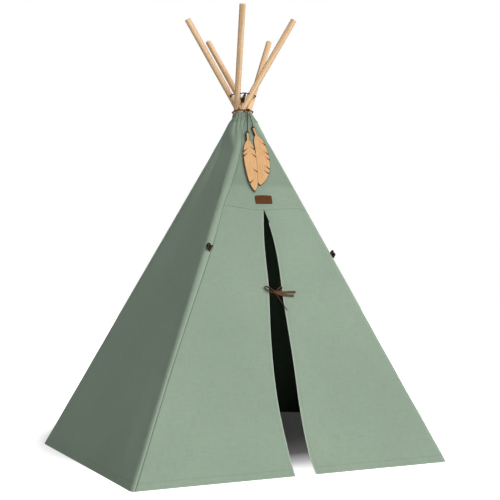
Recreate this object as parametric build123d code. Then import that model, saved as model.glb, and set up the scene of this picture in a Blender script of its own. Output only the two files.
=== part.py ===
from build123d import *
import os
from math import asin, atan, cos, degrees, hypot, pi, radians, sin, sqrt, tan

# Five-pole play teepee. Millimetres, +Z up, origin on the floor under the crossing of the
# poles. The door faces -Y. The five poles stand at the corners of a regular pentagon and
# lean past one another at the waist, like the straight lines of a hyperboloid.

# --- driving dimensions ---------------------------------------------------------------
POLE_DIAMETER = 22.0
POLE_LENGTH = 1800.0
POLE_END_ROUND = 2.0
BASE_RADIUS = 750.0            # centre line of a pole at the floor
WAIST_HEIGHT = 1200.0          # where the poles pass closest to the middle
WAIST_RADIUS = 24.0            # centre line of a pole from the middle, at the waist
ROPE_HOLE_ABOVE_WAIST = 56.0   # along the height
ROPE_HOLE_DIAMETER = 6.5
ROPE_DIAMETER = 4.0
ROPE_CORNER_RADIUS = 12.0
KNOT_OUT, KNOT_DROP = 3.0, 5.0

FABRIC_THICKNESS = 3.0         # a stand-in thickness for canvas, seams and folds
POLE_CLEARANCE = 0.5
SEAM_GAP = 0.1                 # between two panels that are sewn together
HEM_HEIGHT = 3.0
PANEL_TOP_HEIGHT = 1150.0
CUFF_TOP_HEIGHT = 1190.0
CUFF_WALL = 2.5
CUFF_CLEARANCE = 1.0

YOKE_SEAM_HEIGHT = 802.0       # lower edge of the one-piece top of the front panel
SLIT_TOP_X = 16.0
CREASE_FOOT_X = 235.0          # where the fold line of a door flap meets the hem, each side
CREASE_GAP = 0.8
# inner edge of each door flap, from the top of the slit to the hem: (x, height)
LEFT_FLAP_EDGE = [(2.0, 700.0), (-5.0, 540.0), (-22.5, 360.0), (-28.0, 200.0), (-7.0, HEM_HEIGHT)]
RIGHT_FLAP_EDGE = [(34.0, 690.0), (37.0, 540.0), (37.0, 300.0), (36.0, 150.0), (52.0, HEM_HEIGHT)]

DRAWSTRING_HEIGHT = 1196.0
DRAWSTRING_DIAMETER = 4.0
NECK_KNOT_X = 11.0             # the drawstring's knot, from which the feathers hang

LABEL_WIDTH, LABEL_HEIGHT, LABEL_THICKNESS = 57.0, 33.0, 2.0
LABEL_CENTRE_X, LABEL_CENTRE_HEIGHT = 21.0, 836.0

TIE_HEIGHT = 518.0             # bow that holds the two door flaps together
TIE_CENTRE_X = 12.0
TIE_WIDTH, TIE_THICKNESS = 6.0, 1.5
TIEBACK_HEIGHTS = {"front_left": 668.0, "front_right": 640.0}
TIEBACK_INSET = 31.0           # along the wall, from its corner edge
TIEBACK_DEPTH, TIEBACK_WIDTH, TIEBACK_TALL = 16.0, 13.0, 20.0

FEATHER_THICKNESS = 3.0
FEATHER_PIVOT_Y, FEATHER_PIVOT_HEIGHT = -46.0, 1184.0
FEATHER_CORD_DIAMETER = 2.8

# --- shared geometry ------------------------------------------------------------------
CORNER_AZIMUTH = {
    "front_left": 234.0,
    "front_right": 306.0,
    "back_right": 18.0,
    "back": 90.0,
    "back_left": 162.0,
}
HALF_STEP = 36.0
POLE_RADIUS = POLE_DIAMETER / 2
RUN = sqrt(BASE_RADIUS**2 - WAIST_RADIUS**2)
LEAN = atan(RUN / WAIST_HEIGHT)
TWIST = degrees(asin(WAIST_RADIUS / BASE_RADIUS))  # a pole's lean misses the middle by this

# Each wall is a plane that runs parallel to the pole on its left, just outside it.
WALL_FOOT = BASE_RADIUS * cos(radians(HALF_STEP))
WALL_WAIST = WAIST_RADIUS * cos(radians(90.0 - HALF_STEP - TWIST))
WALL_SLOPE = (WALL_FOOT - WALL_WAIST) / WAIST_HEIGHT
WALL_TILT = atan(WALL_SLOPE)
INNER_FOOT = WALL_FOOT + (POLE_RADIUS + POLE_CLEARANCE) / cos(WALL_TILT)
OUTER_FOOT = INNER_FOOT + FABRIC_THICKNESS / cos(WALL_TILT)


def polar(radius, azimuth, height):
    """A point at a distance and a compass angle from the middle."""
    return Vector(radius * cos(radians(azimuth)), radius * sin(radians(azimuth)), height)


def inner(height):
    """Distance of a wall's inner face from the middle, at a height."""
    return INNER_FOOT - WALL_SLOPE * height


def outer(height):
    """Distance of a wall's outer face from the middle, at a height."""
    return OUTER_FOOT - WALL_SLOPE * height


def prism_between(inside, outside):
    """A closed solid between two flat outlines that have the same number of corners."""
    count = len(inside)
    faces = [Face(Wire.make_polygon(inside)), Face(Wire.make_polygon(outside))]
    for i in range(count):
        j = (i + 1) % count
        faces.append(Face(Wire.make_polygon([inside[i], inside[j], outside[j], outside[i]])))
    return Solid(Shell(faces))


def front_point(x, height, lift=0.0):
    """A point of the front wall: lift is its distance outside the wall's outer face."""
    base = Vector(x, -outer(height), height)
    return base + Vector(0, -cos(WALL_TILT), sin(WALL_TILT)) * lift


def front_slab(outline):
    """A slab of the front wall with an outline of (x, height) points."""
    outside = [front_point(x, z) for x, z in outline]
    inside = [front_point(x, z, -FABRIC_THICKNESS) for x, z in outline]
    return prism_between(inside, outside)


FRONT_PLANE = Plane(
    origin=front_point(0, 0), x_dir=(1, 0, 0), z_dir=(0, -cos(WALL_TILT), sin(WALL_TILT))
)


def up_slope(height):
    """Distance along the front wall from its foot line to a height."""
    return height / cos(WALL_TILT)


def on_front(x, height, lift=0.0):
    """A plane parallel to the front wall, with its local Y up the slope."""
    return Plane(origin=front_point(x, height, lift), x_dir=(1, 0, 0), z_dir=FRONT_PLANE.z_dir)


# --- poles ----------------------------------------------------------------------------
def pole_direction(corner):
    """Unit vector up along a pole, from its foot to its top."""
    return Vector(0, 0, cos(LEAN)) - polar(sin(LEAN), corner - TWIST, 0)


def waist_point(corner):
    """Where a pole passes closest to the middle."""
    return polar(WAIST_RADIUS, corner - TWIST + 90.0, WAIST_HEIGHT)


def fold_axis(corner):
    """Level line through the waist point that the pole turns about when the frame closes."""
    return polar(-1.0, corner - TWIST + 90.0, 0)


def rope_hole(corner):
    """Where the rope passes through a pole."""
    return waist_point(corner) + pole_direction(corner) * (ROPE_HOLE_ABOVE_WAIST / cos(LEAN))


def rope_run(corner):
    """Level direction of the rope through a pole, square to the way out from the middle."""
    hole = rope_hole(corner)
    return Vector(-hole.Y, hole.X, 0).normalized()


def make_pole(corner):
    """A round pole with a flat foot, a rounded top and the hole for the rope."""
    up = pole_direction(corner)
    spare = POLE_RADIUS * tan(LEAN)
    foot = waist_point(corner) - up * (WAIST_HEIGHT / cos(LEAN) + spare)
    body = Plane(origin=foot, z_dir=up) * Cylinder(
        POLE_RADIUS, POLE_LENGTH + spare, align=(Align.CENTER, Align.CENTER, Align.MIN)
    )
    body = split(body, bisect_by=Plane.XY, keep=Keep.TOP)
    body = fillet(body.edges().filter_by(GeomType.CIRCLE).sort_by(Axis.Z)[-1:], POLE_END_ROUND)
    hole = Plane(origin=rope_hole(corner), z_dir=rope_run(corner)) * Cylinder(
        ROPE_HOLE_DIAMETER / 2, 2 * POLE_DIAMETER
    )
    return body - hole


# --- rope at the crossing ---------------------------------------------------------------
def rope_corners():
    """Corners of the pentagon whose sides run through the holes."""
    corners = []
    for corner in CORNER_AZIMUTH.values():
        hole = rope_hole(corner)
        half_side = hypot(hole.X, hole.Y) * tan(radians(HALF_STEP))
        corners.append(hole + rope_run(corner) * half_side)
    return corners


def make_lashing_rope():
    """A closed loop of five straight runs, each through the hole in one pole."""
    path = FilletPolyline(*rope_corners(), radius=ROPE_CORNER_RADIUS, close=True)
    return sweep((path ^ 0) * Circle(ROPE_DIAMETER / 2), path=path)


def make_lashing_knot(centre):
    """The overhand knot that closes the loop, with its two short ends."""
    knot = Pos(*centre) * scale(Sphere(5.0), by=(1.0, 0.8, 1.1))
    ends = []
    for side in (-1, 1):
        tip = Plane(origin=centre, z_dir=(0.35 * side, -0.25, -1.0))
        ends.append(tip * Cylinder(1.6, 22.0, align=(Align.CENTER, Align.CENTER, Align.MIN)))
    return knot + ends[0] + ends[1]


# --- fabric -----------------------------------------------------------------------------
def make_wall(corner, low, high):
    """One wall, from a corner to the next corner round."""
    middle = corner + HALF_STEP
    outline = {}
    for name, reach in (("inside", inner), ("outside", outer)):
        points = []
        for height, side in ((low, -1), (low, 1), (high, 1), (high, -1)):
            half = reach(height) * tan(radians(HALF_STEP)) - SEAM_GAP / 2
            flat = polar(reach(height), middle, height)
            points.append(flat + polar(side * half, middle + 90.0, 0))
        outline[name] = points
    return prism_between(outline["inside"], outline["outside"])


def crease_x(side, height):
    """Fold line of a door flap at a height. side is -1 for left and 1 for right."""
    share = (YOKE_SEAM_HEIGHT - height) / YOKE_SEAM_HEIGHT
    return SLIT_TOP_X + share * (side * CREASE_FOOT_X - SLIT_TOP_X)


def make_door_side(side):
    """The part of the front wall between a front pole and the door flap's fold line."""
    whole = make_wall(CORNER_AZIMUTH["front_left"], HEM_HEIGHT, YOKE_SEAM_HEIGHT - SEAM_GAP)
    top = YOKE_SEAM_HEIGHT + 1.0
    far = side * 2 * BASE_RADIUS
    low = -20.0
    outline = [
        (crease_x(side, top) + side * CREASE_GAP / 2, top),
        (crease_x(side, low) + side * CREASE_GAP / 2, low),
        (far, low),
        (far, top),
    ]
    deep = 4 * FABRIC_THICKNESS
    cutter = prism_between(
        [front_point(x, z, -deep) for x, z in outline],
        [front_point(x, z, deep) for x, z in outline],
    )
    return whole & cutter


def make_door_flap(side, edge):
    """The part of the front wall between the fold line and the slit."""
    top = edge[0][1] + 60.0
    apex = (crease_x(side, top) - side * (CREASE_GAP / 2 + 1.0), top)
    foot = (crease_x(side, HEM_HEIGHT) - side * CREASE_GAP / 2, HEM_HEIGHT)
    crease_top = (crease_x(side, top) - side * CREASE_GAP / 2, top)
    return front_slab([crease_top, apex, *edge, foot])


def make_neck_cuff():
    """The gathered top of the canopy, a short cone round the bundle of poles."""
    depth_low = WAIST_HEIGHT - PANEL_TOP_HEIGHT
    depth_high = WAIST_HEIGHT - CUFF_TOP_HEIGHT
    radii = []
    for depth in (depth_low, depth_high):
        reach = hypot(WAIST_RADIUS, depth * tan(LEAN))
        radii.append(reach + POLE_RADIUS / cos(LEAN) + CUFF_CLEARANCE)
    low = PANEL_TOP_HEIGHT + SEAM_GAP
    profile = Plane.XZ * make_face(
        Polyline(
            (radii[0], low),
            (radii[0] + CUFF_WALL, low),
            (radii[1] + CUFF_WALL, CUFF_TOP_HEIGHT),
            (radii[1], CUFF_TOP_HEIGHT),
            close=True,
        )
    )
    return revolve(profile, Axis.Z)


def drawstring_radius():
    return WAIST_RADIUS + POLE_RADIUS / cos(LEAN) + DRAWSTRING_DIAMETER / 2 + 1.0


def make_drawstring():
    ring = Torus(drawstring_radius(), DRAWSTRING_DIAMETER / 2)
    return Pos(0, 0, DRAWSTRING_HEIGHT) * ring


def make_drawstring_knot():
    """The knot at the front of the drawstring, from which the feathers hang."""
    reach = drawstring_radius() + DRAWSTRING_DIAMETER / 2 + 3.2
    ball = scale(Sphere(4.0), by=(1.3, 0.75, 1.0))
    return Pos(NECK_KNOT_X, -reach, DRAWSTRING_HEIGHT - 2.0) * ball


# --- leather trim -----------------------------------------------------------------------
def make_label():
    plate = extrude(RectangleRounded(LABEL_WIDTH, LABEL_HEIGHT, 2.0), LABEL_THICKNESS)
    return on_front(LABEL_CENTRE_X, LABEL_CENTRE_HEIGHT, 0.3) * plate


def make_tieback(corner, height):
    """A small knotted leather loop beside a front corner, for holding a door flap open."""
    middle = corner + HALF_STEP
    along = outer(height) * tan(radians(HALF_STEP)) - TIEBACK_INSET
    on_wall = polar(outer(height), middle, height) - polar(along, middle + 90.0, 0)
    out = polar(cos(WALL_TILT), middle, sin(WALL_TILT))
    place = Plane(origin=on_wall + out * 0.3, x_dir=polar(1, middle + 90.0, 0), z_dir=out)
    block = Box(
        TIEBACK_WIDTH, TIEBACK_TALL, TIEBACK_DEPTH, align=(Align.CENTER, Align.CENTER, Align.MIN)
    )
    return place * fillet(block.edges(), 4.0)


def make_tie_knot():
    block = fillet(Box(10.0, 9.0, 7.0).edges(), 2.0)
    return on_front(TIE_CENTRE_X, TIE_HEIGHT, 5.0) * block


def make_tie_loop(out_x, length, width, slant):
    """One loop of the bow: a flat ring of leather ribbon standing on its edge, slanting up."""
    outside = Ellipse(length / 2, width / 2)
    inside = Ellipse(length / 2 - TIE_THICKNESS, width / 2 - TIE_THICKNESS)
    place = on_front(TIE_CENTRE_X + out_x, TIE_HEIGHT + 9.5, 2.4)
    return place * Rot(0, 0, slant) * extrude(outside - inside, TIE_WIDTH)


def make_tie_tail(length, drop):
    """One free end of the bow's ribbon, lying to the right over the door flap."""
    start = TIE_CENTRE_X + 6.0
    strip = Box(length, TIE_WIDTH, TIE_THICKNESS, align=(Align.MIN, Align.CENTER, Align.MIN))
    return on_front(start, TIE_HEIGHT - drop, 0.5) * Rot(0, 0, -drop / 2) * strip


# --- feathers ---------------------------------------------------------------------------
STEM_HALF_WIDTH, STEM_LENGTH, STEM_ABOVE_HOLE = 4.5, 34.0, 6.0
NOTCH_DEPTH, NOTCH_RISE, NOTCH_MOUTH = 11.0, 12.0, 6.5

# place: hole x, hole height, lift from the wall, lean in degrees
# length: from the hole to the tip; bow: how far the quill curves out to the right
# blade: (distance down from the hole, half width) of the outline
# left, right: how far down each edge its notches are
FEATHERS = {
    "feather_left": {
        "place": (-3.0, 1096.0, 5.0, -0.7),
        "length": 261.0,
        "bow": -3.0,
        "blade": [(64, 17.5), (103, 22.5), (150, 22.0), (200, 18.5), (236, 12.0)],
        "left": [90, 110, 226],
        "right": [80, 113, 180],
    },
    "feather_right": {
        "place": (21.0, 1119.0, 1.0, -1.1),
        "length": 258.0,
        "bow": 21.0,
        "blade": [(62, 18.0), (96, 22.0), (130, 24.5), (165, 26.0), (200, 25.5), (238, 15.0)],
        "left": [],
        "right": [82, 124, 148, 188, 208],
    },
}


def quill_x(facts, down):
    """The middle of a feather at a distance down from its hole."""
    return facts["bow"] * sin(pi * down / facts["length"])


def blade_edge(facts, side, down):
    """The edge of a feather's blade at a distance down from its hole."""
    rows = [(STEM_LENGTH, STEM_HALF_WIDTH), *facts["blade"], (facts["length"], 0.0)]
    for (above, wide), (below, narrow) in zip(rows, rows[1:]):
        if above <= down <= below:
            half = wide + (narrow - wide) * (down - above) / (below - above)
            return quill_x(facts, down) + side * half


def make_feather(facts):
    """A flat feather cut from plywood, hanging down local -Y from its stem's hole."""
    rows = [STEM_LENGTH, *[down for down, _ in facts["blade"]]]
    sides = []
    for side in (-1, 1):
        top = (side * STEM_HALF_WIDTH, STEM_ABOVE_HOLE)
        blade = [(blade_edge(facts, side, down), -down) for down in rows]
        tip = (0.0, -facts["length"])
        sides.append(Polyline(top, blade[0]) + Spline(*blade, tip))
    across = Line((-STEM_HALF_WIDTH, STEM_ABOVE_HOLE), (STEM_HALF_WIDTH, STEM_ABOVE_HOLE))
    blank = extrude(make_face(sides[0] + sides[1] + across), FEATHER_THICKNESS)
    for side, places in ((-1, facts["left"]), (1, facts["right"])):
        for down in places:
            edge = blade_edge(facts, side, down)
            cut = Polyline(
                (edge + side * 4.0, 1.0 - down),
                (edge - side * NOTCH_DEPTH, NOTCH_RISE - down),
                (edge + side * 4.0, 1.0 - NOTCH_MOUTH - down),
                close=True,
            )
            blank -= extrude(make_face(cut), FEATHER_THICKNESS)
    blank -= Cylinder(2.0, 4 * FEATHER_THICKNESS)
    return blank


def place_feather(facts):
    x, height, lift, lean = facts["place"]
    return on_front(x, height, lift) * Rot(0, 0, lean) * make_feather(facts)


def feather_cord_route(x, height, lift):
    """From the drawstring knot to the hole in the feather's stem, with one small bend."""
    start = Vector(NECK_KNOT_X + 0.2 * (x - NECK_KNOT_X), FEATHER_PIVOT_Y, FEATHER_PIVOT_HEIGHT)
    end = front_point(x, height + 5.0, lift + FEATHER_THICKNESS + FEATHER_CORD_DIAMETER / 2 + 0.3)
    middle = start + (end - start) * 0.45 + Vector(0, -2.5, 0)
    return [start, middle, end]


def make_cord(route, diameter):
    """A round cord along straight runs joined by one arc as large as the runs allow."""
    first, middle, last = route
    turn = radians((middle - first).get_angle(last - middle))
    run = min((middle - first).length, (last - middle).length)
    radius = 0.45 * run / tan(turn / 2)
    path = FilletPolyline(*route, radius=[radius])
    return sweep((path ^ 0) * Circle(diameter / 2), path=path)


# --- all sub-parts ----------------------------------------------------------------------
def make_all():
    parts = {f"pole_{name}": make_pole(corner) for name, corner in CORNER_AZIMUTH.items()}
    parts["lashing_rope"] = make_lashing_rope()
    front = min(rope_corners(), key=lambda corner: corner.Y)
    parts["lashing_knot"] = make_lashing_knot(front + Vector(0, -KNOT_OUT, -KNOT_DROP))
    parts["neck_cuff"] = make_neck_cuff()
    parts["drawstring"] = make_drawstring()
    parts["drawstring_knot"] = make_drawstring_knot()
    walls = {
        "wall_right": "front_right",
        "wall_back_right": "back_right",
        "wall_back_left": "back",
        "wall_left": "back_left",
    }
    for name, pole in walls.items():
        parts[name] = make_wall(CORNER_AZIMUTH[pole], HEM_HEIGHT, PANEL_TOP_HEIGHT)
    parts["front_yoke"] = make_wall(
        CORNER_AZIMUTH["front_left"], YOKE_SEAM_HEIGHT, PANEL_TOP_HEIGHT
    )
    parts["door_side_left"] = make_door_side(-1)
    parts["door_side_right"] = make_door_side(1)
    parts["door_flap_left"] = make_door_flap(-1, LEFT_FLAP_EDGE)
    parts["door_flap_right"] = make_door_flap(1, RIGHT_FLAP_EDGE)
    parts["leather_label"] = make_label()
    for corner, height in TIEBACK_HEIGHTS.items():
        name = corner.replace("front", "tieback")
        parts[name] = make_tieback(CORNER_AZIMUTH[corner], height)
    parts["tie_knot"] = make_tie_knot()
    parts["tie_loop_left"] = make_tie_loop(-20.0, 32.0, 16.0, -33.0)
    parts["tie_loop_right"] = make_tie_loop(15.0, 22.0, 12.0, 40.0)
    parts["tie_tail_upper"] = make_tie_tail(62.0, 0.0)
    parts["tie_tail_lower"] = make_tie_tail(56.0, 9.0)
    for name, facts in FEATHERS.items():
        parts[name] = place_feather(facts)
        route = feather_cord_route(*facts["place"][:3])
        parts[name.replace("feather", "feather_cord")] = make_cord(route, FEATHER_CORD_DIAMETER)
    return parts


os.makedirs("parts", exist_ok=True)
for node, solid in make_all().items():
    solid.label = node
    export_step(solid, f"parts/{node}.step")
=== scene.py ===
from math import asin, atan, copysign, cos, degrees, exp, pi, radians, sin, sqrt, tan

import bmesh
import bpy
from mathutils import Matrix, Vector, noise


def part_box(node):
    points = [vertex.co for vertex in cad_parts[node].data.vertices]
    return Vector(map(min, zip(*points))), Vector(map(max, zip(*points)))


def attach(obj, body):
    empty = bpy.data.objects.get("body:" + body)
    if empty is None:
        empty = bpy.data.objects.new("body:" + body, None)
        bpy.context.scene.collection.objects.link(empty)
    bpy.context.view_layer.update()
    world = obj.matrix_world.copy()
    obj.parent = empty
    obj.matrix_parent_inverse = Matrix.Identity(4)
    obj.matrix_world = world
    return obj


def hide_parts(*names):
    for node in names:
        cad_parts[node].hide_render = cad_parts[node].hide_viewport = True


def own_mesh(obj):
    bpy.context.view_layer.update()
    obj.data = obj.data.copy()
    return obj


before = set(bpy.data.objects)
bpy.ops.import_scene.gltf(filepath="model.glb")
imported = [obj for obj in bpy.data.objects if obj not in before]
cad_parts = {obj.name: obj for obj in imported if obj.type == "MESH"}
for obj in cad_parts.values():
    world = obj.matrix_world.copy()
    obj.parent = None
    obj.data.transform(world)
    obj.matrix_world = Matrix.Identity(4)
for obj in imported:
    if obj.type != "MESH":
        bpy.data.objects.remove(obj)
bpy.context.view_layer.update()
scene = bpy.context.scene

# Metres, +Z up, origin on the floor under the crossing of the poles, door facing -Y.

# --- dimensions shared with the CAD ---
BASE_RADIUS = 0.750
WAIST_RADIUS = 0.024
WAIST_HEIGHT = 1.200
POLE_RADIUS = 0.011
HEM_HEIGHT = 0.0008            # the cloth rests on the floor
PANEL_TOP = 1.150
YOKE_SEAM = 0.802
SLIT_TOP_X = 0.016
CREASE_FOOT_X = 0.235
TIE_X, TIE_HEIGHT = 0.012, 0.514
LABEL_X, LABEL_HEIGHT = 0.021, 0.836
LABEL_SIZE = (0.057, 0.033)
LABEL_THICKNESS = 0.0018
LABEL_LIFT = 0.0018             # clears the stitches under it
LABEL_SQUARE = 0.14             # 0 is a sharp rectangle and 1 an ellipse
DRAWSTRING_HEIGHT = 1.196
NECK_KNOT_X = 0.011
FEATHER_PIVOT = (0.0, -0.046, 1.184)
CORNERS = {"front_left": 234, "front_right": 306, "back_right": 18, "back": 90, "back_left": 162}

HALF = radians(36)
RUN = sqrt(BASE_RADIUS**2 - WAIST_RADIUS**2)
LEAN = atan(RUN / WAIST_HEIGHT)
TWIST = degrees(asin(WAIST_RADIUS / BASE_RADIUS))
WALL_FOOT = BASE_RADIUS * cos(HALF)
WALL_WAIST = WAIST_RADIUS * cos(radians(54 - TWIST))
WALL_SLOPE = (WALL_FOOT - WALL_WAIST) / WAIST_HEIGHT
WALL_TILT = atan(WALL_SLOPE)
OUTER_FOOT = WALL_FOOT + (POLE_RADIUS + 0.0005 + 0.003) / cos(WALL_TILT)
FRONT = 270


def polar(radius, azimuth, height):
    a = radians(azimuth)
    return Vector((radius * cos(a), radius * sin(a), height))


def outer(z):
    """Distance of a wall's outer face from the middle, at a height."""
    return OUTER_FOOT - WALL_SLOPE * z


def pole_direction(corner):
    return Vector((0, 0, cos(LEAN))) - polar(sin(LEAN), corner - TWIST, 0)


def waist_point(corner):
    return polar(WAIST_RADIUS, corner - TWIST + 90, WAIST_HEIGHT)


def front_point(x, z, lift=0.0):
    """A point of the front wall: lift is its distance outside the wall's outer face."""
    out = Vector((0, -cos(WALL_TILT), sin(WALL_TILT)))
    return Vector((x, -outer(z), z)) + out * lift


def millimetres(points):
    return [tuple(value / 1000 for value in point) for point in points]


def smooth(x):
    x = min(max(x, 0.0), 1.0)
    return x * x * (3 - 2 * x)


# --- camera ---
CAMERA_AZIMUTH = radians(-11.4)
CAMERA_DISTANCE = 2.652
CAMERA_HEIGHT = 0.473
CAMERA_YAW = radians(-3.46)
CAMERA_PITCH = radians(4.39)
CAMERA_ROLL = radians(-1.95)


def make_camera():
    data = bpy.data.cameras.new("camera")
    data.sensor_width = 36
    data.lens = 52.0
    data.shift_x = -0.081
    yaw = CAMERA_AZIMUTH + CAMERA_YAW
    ahead = Vector((-sin(yaw) * cos(CAMERA_PITCH), cos(yaw) * cos(CAMERA_PITCH), sin(CAMERA_PITCH)))
    right = Vector((cos(yaw), sin(yaw), 0))
    up = right.cross(ahead)
    tilted = right * cos(CAMERA_ROLL) + up * sin(CAMERA_ROLL)
    upright = up * cos(CAMERA_ROLL) - right * sin(CAMERA_ROLL)
    turn = Matrix((tilted, upright, -ahead)).transposed()
    camera = bpy.data.objects.new("camera", data)
    place = Vector((
        CAMERA_DISTANCE * sin(CAMERA_AZIMUTH),
        -CAMERA_DISTANCE * cos(CAMERA_AZIMUTH),
        CAMERA_HEIGHT,
    ))
    camera.matrix_world = Matrix.Translation(place) @ turn.to_4x4()
    scene.collection.objects.link(camera)
    scene.camera = camera


make_camera()


# --- mesh helpers ---
def add_object(name, data):
    made = bpy.data.objects.new(name, data)
    scene.collection.objects.link(made)
    return made


def mesh_object(name, points, faces, material, uvs=None, normals=None):
    """A smooth mesh. uvs is {layer name: [(u, v) for each point]}."""
    data = bpy.data.meshes.new(name)
    data.from_pydata(points, [], faces)
    data.materials.append(material)
    for polygon in data.polygons:
        polygon.use_smooth = True
    for layer_name, values in (uvs or {}).items():
        layer = data.uv_layers.new(name=layer_name)
        for loop in data.loops:
            layer.data[loop.index].uv = values[loop.vertex_index]
    data.update()
    if normals:
        data.normals_split_custom_set_from_vertices(normals)
    return add_object(name, data)


def nurbs_line(points):
    """The points along a NURBS curve that has these as its control points."""
    curve = bpy.data.curves.new("route", "CURVE")
    curve.dimensions = "3D"
    curve.resolution_u = 12
    spline = curve.splines.new("NURBS")
    spline.points.add(len(points) - 1)
    for target, point in zip(spline.points, points):
        target.co = (*point, 1)
    spline.order_u = 3
    spline.use_endpoint_u = True
    holder = bpy.data.objects.new("route", curve)
    mesh = bpy.data.meshes.new_from_object(holder)
    line = [v.co.copy() for v in mesh.vertices]
    bpy.data.objects.remove(holder)
    bpy.data.meshes.remove(mesh)
    bpy.data.curves.remove(curve)
    return line


def frames_along(line, closed=False):
    """A direction and two square sides at each point, with little twist."""
    count = len(line)
    frames = []
    side = None
    for i in range(count):
        before = line[(i - 1) % count] if closed or i else line[0]
        after = line[(i + 1) % count] if closed or i < count - 1 else line[-1]
        ahead = (after - before).normalized()
        if side is None:
            side = ahead.orthogonal()
        side = (side - ahead * side.dot(ahead)).normalized()
        frames.append((ahead, side, ahead.cross(side)))
    return frames


def ring_faces(rings, sides):
    """The faces between rings of points that follow one another."""
    faces = []
    for i in range(rings - 1):
        for k in range(sides):
            m = (k + 1) % sides
            faces.append((i * sides + k, i * sides + m, (i + 1) * sides + m, (i + 1) * sides + k))
    return faces


def tube(line, radius, sides=10, closed=False):
    """Points and faces of a round tube."""
    points, faces = [], []
    for centre, (_, a, b) in zip(line, frames_along(line, closed)):
        for k in range(sides):
            turn = 2 * pi * k / sides
            points.append(centre + (a * cos(turn) + b * sin(turn)) * radius)
    rings = len(line)
    for i in range(rings if closed else rings - 1):
        j = (i + 1) % rings
        for k in range(sides):
            m = (k + 1) % sides
            faces.append((i * sides + k, j * sides + k, j * sides + m, i * sides + m))
    if not closed:
        faces.append(tuple(range(sides)))
        faces.append(tuple(range((rings - 1) * sides, rings * sides))[::-1])
    return points, faces


RIBBON_SECTION = ((-1, -0.6), (-0.8, -1), (0.8, -1), (1, -0.6), (1, 0.6), (0.8, 1), (-0.8, 1), (-1, 0.6))


def ribbon(line, across, width, thickness):
    """Points and faces of a flat band along a line. across is its width's direction."""
    points = []
    for centre, (ahead, _, _) in zip(line, frames_along(line)):
        wide = (across - ahead * across.dot(ahead)).normalized()
        thick = ahead.cross(wide)
        for u, v in RIBBON_SECTION:
            points.append(centre + wide * u * (width / 2) + thick * v * thickness / 2)
    count, sides = len(line), len(RIBBON_SECTION)
    faces = ring_faces(count, sides)
    faces.append(tuple(range(sides))[::-1])
    faces.append(tuple(range((count - 1) * sides, count * sides)))
    return points, faces


def joined(*parts):
    """Several (points, faces) as one."""
    points, faces = [], []
    for more_points, more_faces in parts:
        start = len(points)
        points += more_points
        faces += [tuple(i + start for i in face) for face in more_faces]
    return points, faces


# --- material helpers ---
def new_material(name):
    material = bpy.data.materials.new(name)
    material.use_nodes = True
    tree = material.node_tree
    return material, tree, tree.nodes["Principled BSDF"]


def node(tree, kind, settings=None, **inputs):
    """A node with its properties and its inputs set. An input is a value or an output socket."""
    made = tree.nodes.new("ShaderNode" + kind)
    for key, value in (settings or {}).items():
        setattr(made, key, value)
    for key, value in inputs.items():
        name = key.replace("_", " ")
        socket = made.inputs[int(key[1:])] if key[0] == "i" and key[1:].isdigit() else made.inputs[name]
        if isinstance(value, bpy.types.NodeSocket):
            tree.links.new(value, socket)
        else:
            socket.default_value = value
    return made


def maths(tree, operation, a, b=0.0, clamp=False):
    return node(tree, "Math", {"operation": operation, "use_clamp": clamp}, i0=a, i1=b).outputs[0]


def ramp(tree, value, *stops):
    """A colour ramp with (position, colour) stops."""
    made = node(tree, "ValToRGB", i0=value)
    elements = made.color_ramp.elements
    while len(elements) < len(stops):
        elements.new(0.5)
    for element, (position, colour) in zip(elements, stops):
        element.position = position
        element.color = (*colour, 1)
    return made.outputs["Color"]


def mix(tree, share, a, b, blend="MIX"):
    made = tree.nodes.new("ShaderNodeMix")
    made.data_type = "RGBA"
    made.blend_type = blend
    for index, value in ((0, share), (6, a), (7, b)):
        if isinstance(value, bpy.types.NodeSocket):
            tree.links.new(value, made.inputs[index])
        else:
            made.inputs[index].default_value = (*value, 1) if isinstance(value, tuple) else value
    return made.outputs[2]


def grey(value):
    return (value, value, value)


def line_mask(tree, distance, where, width):
    """1 within a band this wide round a distance, 0 outside, with soft edges."""
    off = maths(tree, "ABSOLUTE", maths(tree, "SUBTRACT", distance, where))
    share = maths(tree, "DIVIDE", off, width / 2)
    return maths(tree, "SUBTRACT", 1.0, share, clamp=True)


def times(tree, a, b):
    return maths(tree, "MULTIPLY", a, b)


def dashes(tree, along, pitch, gap):
    """1 on each dash of a line and 0 between. gap is from -1, all dash, to 1, all gap."""
    return maths(tree, "GREATER_THAN", maths(tree, "SINE", times(tree, along, 2 * pi / pitch)), gap)


def tones(tree, value, low, dark, high, light):
    """A grey ramp that is dark up to low and light from high."""
    return ramp(tree, value, (low, grey(dark)), (high, grey(light)))


def wash(tree, share, colour, value, low, dark, high, light):
    """A colour made darker and lighter by a pattern."""
    return mix(tree, share, colour, tones(tree, value, low, dark, high, light), "MULTIPLY")


def object_place(tree):
    return node(tree, "TexCoord").outputs["Object"]


def vector_maths(tree, operation, a, b):
    output = "Value" if operation in ("DOT_PRODUCT", "DISTANCE") else "Vector"
    return node(tree, "VectorMath", {"operation": operation}, i0=a, i1=tuple(b)).outputs[output]


def scaled(tree, vector, scale):
    return node(tree, "Mapping", Vector=vector, Scale=scale).outputs[0]


def speckle(tree, vector, scale, detail, roughness=0.5):
    return node(
        tree, "TexNoise",
        Vector=vector, Scale=scale, Detail=detail, Roughness=roughness,
    ).outputs[0]


def finish(tree, shader, colour, rough, specular, height, strength, distance):
    """Connects a material's colour, roughness and bump."""
    tree.links.new(colour, shader.inputs["Base Color"])
    tree.links.new(rough, shader.inputs["Roughness"])
    shader.inputs["Specular IOR Level"].default_value = specular
    bump = node(tree, "Bump", Strength=strength, Distance=distance, Height=height)
    tree.links.new(bump.outputs["Normal"], shader.inputs["Normal"])


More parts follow.
